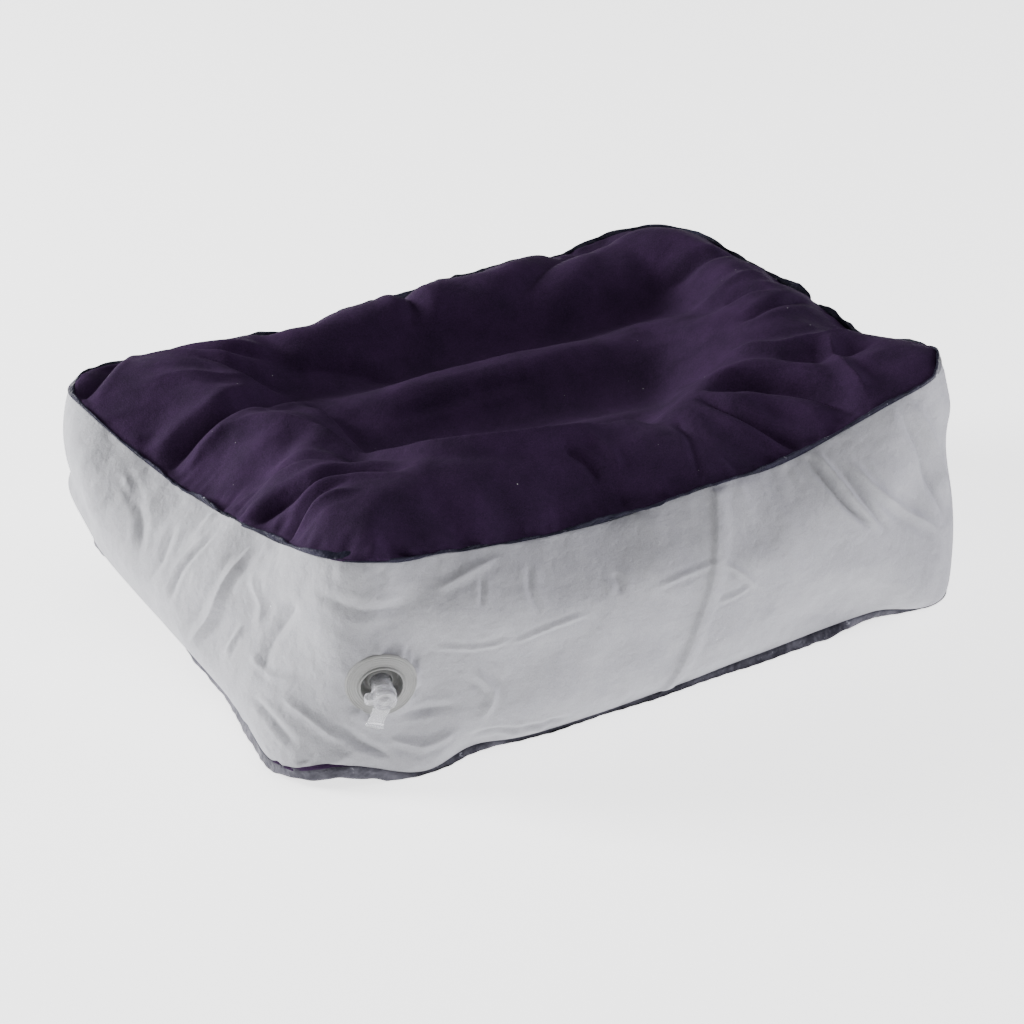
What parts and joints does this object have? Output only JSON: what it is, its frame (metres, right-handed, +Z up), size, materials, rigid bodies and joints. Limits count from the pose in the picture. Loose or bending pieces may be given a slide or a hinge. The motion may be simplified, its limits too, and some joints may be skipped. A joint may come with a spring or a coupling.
{
  "type": "inflatable foot cushion",
  "caption": "Inflatable flocked cushion with a dished top, welded side wall, inner tension bands and a push-in stem valve with a tethered plug, for resting or working the feet on.",
  "frame": {"origin": "middle of the flat underside, on the surface that the cushion stands on", "axes": "+Z up, +X along the long side, -Y towards the long side with the valve"},
  "size_m": [0.444, 0.312, 0.1429],
  "materials": {
    "plum_flock": "short dark purple flock on vinyl sheet",
    "grey_flock": "short light grey flock on vinyl sheet",
    "seam_weld": "glossy dark navy melted weld",
    "inner_sheet": "plain vinyl sheet",
    "grey_moulding": "soft grey moulded vinyl with a satin surface",
    "clear_moulding": "soft clear moulded vinyl"
  },
  "bodies": {
    "cushion": {"top_panel": "plum_flock", "bottom_panel": "plum_flock", "side_wall": "grey_flock", "top_seam_fin": "seam_weld", "bottom_seam_fin": "seam_weld", "front_tension_band": "inner_sheet", "front_band_top_tape": "inner_sheet", "front_band_bottom_tape": "inner_sheet", "rear_tension_band": "inner_sheet", "rear_band_top_tape": "inner_sheet", "rear_band_bottom_tape": "inner_sheet", "valve_flange": "grey_moulding", "valve_cup": "grey_moulding"},
    "stem": {"valve_stem": "clear_moulding", "plug_strap": "clear_moulding"},
    "plug": {"valve_plug": "clear_moulding"},
    "flap": {"check_flap": "clear_moulding"}
  },
  "joints": [
    {"name": "stem_push", "type": "slide", "parent": "cushion", "child": "stem", "axis": [0.3978, 0.8936, 0.2079], "range_m": [0, 0.007]},
    {"name": "plug_pull", "type": "slide", "parent": "stem", "child": "plug", "axis": [-0.3978, -0.8936, -0.2079], "range_m": [0, 0.008]},
    {"name": "flap_swing", "type": "hinge", "parent": "stem", "child": "flap", "pos_m": [-0.17742, -0.13537, 0.06643], "axis": [0.9135, -0.4067, 0], "range_deg": [0, 50], "stiffness_Nm_per_rad": 0.00002}
  ]
}
